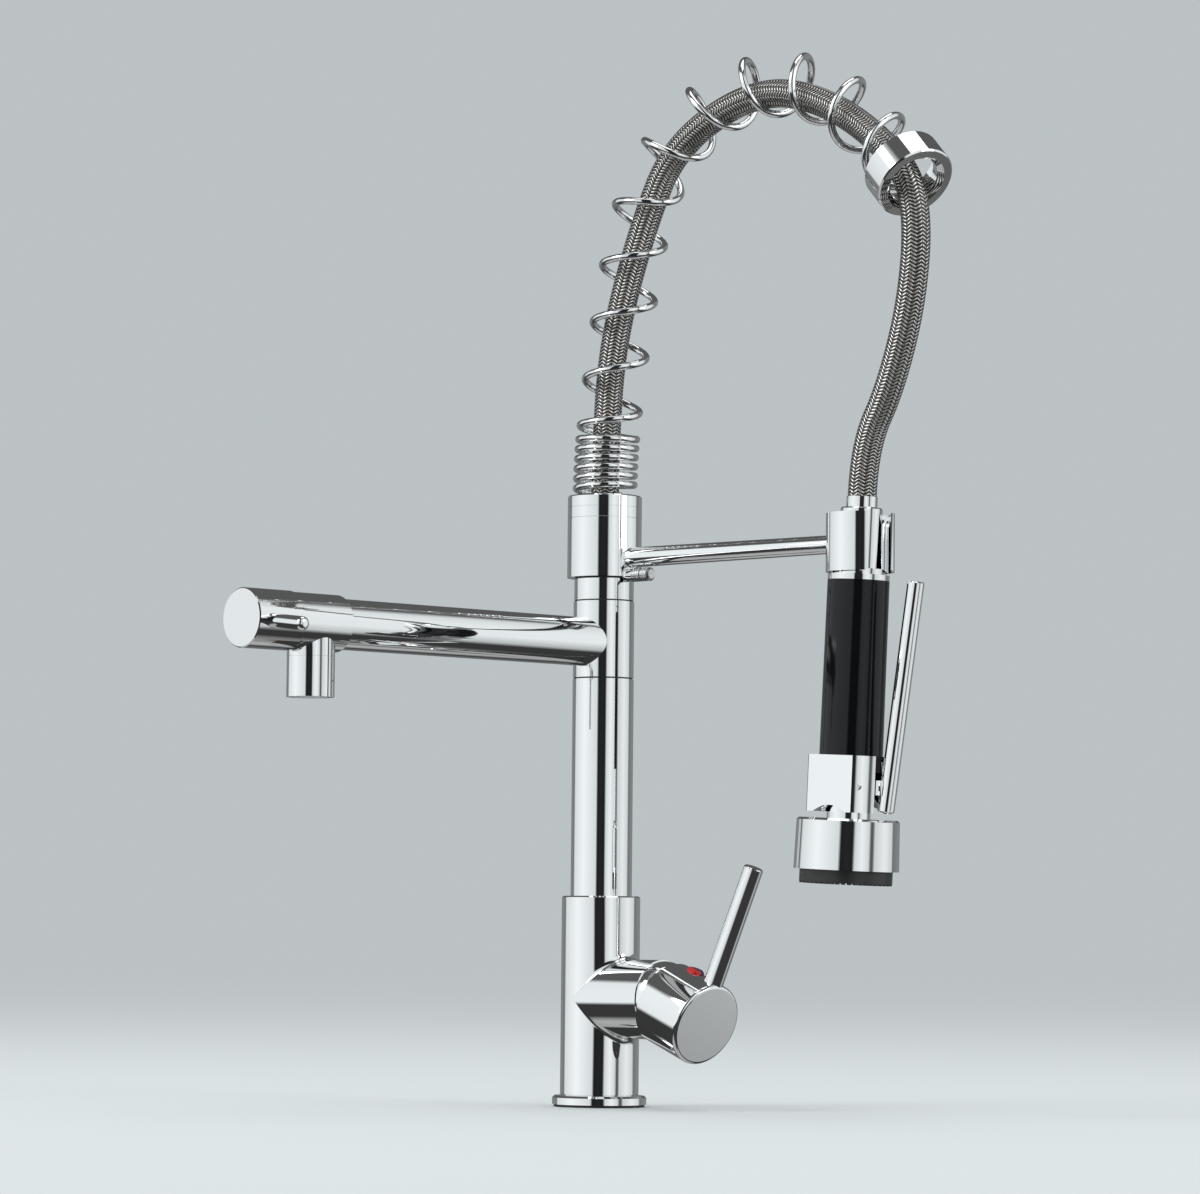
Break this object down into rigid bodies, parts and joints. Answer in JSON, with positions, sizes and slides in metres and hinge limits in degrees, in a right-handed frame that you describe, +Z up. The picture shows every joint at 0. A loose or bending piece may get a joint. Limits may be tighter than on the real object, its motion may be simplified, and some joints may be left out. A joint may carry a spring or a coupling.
{
  "type": "pull-out kitchen mixer tap",
  "caption": "Tall chrome kitchen mixer tap with a spring-guided pull-out spray head in a side clip, a swivelling side spout with its own shut-off knob, and a side lever.",
  "frame": {"origin": "on the column's axis, in the plane where the base gasket rests on the deck", "axes": "+Z up along the column, +X towards the mixing handle, -Y towards the user, where the side spout points at rest"},
  "size_m": [0.2785, 0.3061, 0.6448],
  "materials": {
    "chrome": "polished chrome plate",
    "steel": "plain turned stainless steel",
    "brass": "machined brass",
    "black_rubber": "moulded rubber",
    "inner_plastic": "moulded acetal",
    "ceramic": "lapped ceramic",
    "black_gloss": "smooth gloss",
    "black_plastic": "satin moulded",
    "braided_hose": "close silver grey braid",
    "index_colour": "red and blue index mark"
  },
  "bodies": {
    "tap_body": {"base_gasket": "black_rubber", "base_flange": "chrome", "shank": "brass", "rubber_washer": "black_rubber", "steel_washer": "steel", "lock_nut": "brass", "mixer_body": "chrome", "cartridge_housing": "inner_plastic", "ceramic_disc": "ceramic", "cartridge_nut": "brass", "ball_cap": "chrome", "column_connector": "brass", "column_tube": "chrome", "spindle": "brass", "ring_seals": "black_rubber", "glide_rings": "inner_plastic", "spacer_ring": "chrome", "collar_circlip": "steel"},
    "cartridge": {"moving_disc": "ceramic", "cartridge_carrier": "inner_plastic", "lift_pin": "steel"},
    "handle": {"handle_stem": "brass", "handle_dome": "chrome", "handle_rod": "chrome", "grub_screw": "steel", "index_plug": "index_colour"},
    "spout": {"spout_hub": "chrome", "spout_tube": "chrome", "spout_tee": "chrome", "aerator_housing": "chrome", "aerator_insert": "inner_plastic", "shutoff_valve": "brass"},
    "spout_knob": {"shutoff_stem": "brass", "shutoff_knob": "chrome", "knob_peg": "chrome"},
    "arm": {"collar_sleeve": "chrome", "collar_middle_ring": "chrome", "collar_top_ring": "chrome", "lower_ferrule": "chrome", "arm_rod": "chrome", "hose_clip": "chrome", "clamp_screw": "steel", "spring": "chrome", "spring_end_ring": "chrome", "hose": "braided_hose"},
    "spray_head": {"head_ferrule": "chrome", "head_neck": "chrome", "neck_band": "chrome", "grip_core": "inner_plastic", "grip_sleeve": "black_gloss", "head_block": "chrome", "lever_pin": "steel", "spray_shroud": "chrome", "spray_chamber": "inner_plastic", "nozzle_ring": "black_plastic", "spray_plate": "black_plastic"},
    "trigger": {"trigger_lever": "chrome"},
    "valve": {"valve_plunger": "steel"}
  },
  "joints": [
    {"name": "handle_turn", "type": "hinge", "parent": "tap_body", "child": "cartridge", "pos_m": [0.05, 0, 0.06145], "axis": [1, 0, 0], "range_deg": [-38, 48]},
    {"name": "handle_lift", "type": "hinge", "parent": "cartridge", "child": "handle", "pos_m": [0.05, 0, 0.06145], "axis": [0, 0.9959, -0.0906], "range_deg": [-21, 0]},
    {"name": "spout_swivel", "type": "hinge", "parent": "tap_body", "child": "spout", "pos_m": [0, 0, 0.2658], "axis": [0, 0, 1], "range_deg": [-130, 15]},
    {"name": "spout_shutoff", "type": "hinge", "parent": "spout", "child": "spout_knob", "pos_m": [0, 0, 0.2658], "axis": [-0.0349, -0.9994, 0], "range_deg": [0, 90]},
    {"name": "arm_swivel", "type": "hinge", "parent": "tap_body", "child": "arm", "pos_m": [0, 0, 0.32], "axis": [0, 0, 1], "range_deg": [-57, 110]},
    {"name": "head_pull", "type": "slide", "parent": "arm", "child": "spray_head", "axis": [0, 0, -1], "range_m": [0, 0.036], "stiffness_N_per_m": 300, "springref_m": -0.04, "deforming": ["hose"]},
    {"name": "trigger_squeeze", "type": "hinge", "parent": "spray_head", "child": "trigger", "pos_m": [0.19839, 0.01213, 0.17919], "axis": [0.061, -0.9981, 0], "range_deg": [0, 7], "stiffness_Nm_per_rad": 4, "springref_deg": -6.88},
    {"name": "valve_push", "type": "slide", "parent": "spray_head", "child": "valve", "axis": [-0.0477, -0.0029, -0.9989], "range_m": [0, 0.0021]}
  ],
  "couplings": [
    {"joint": "valve_push", "follows": "trigger_squeeze", "m_per_rad": 0.0168}
  ]
}
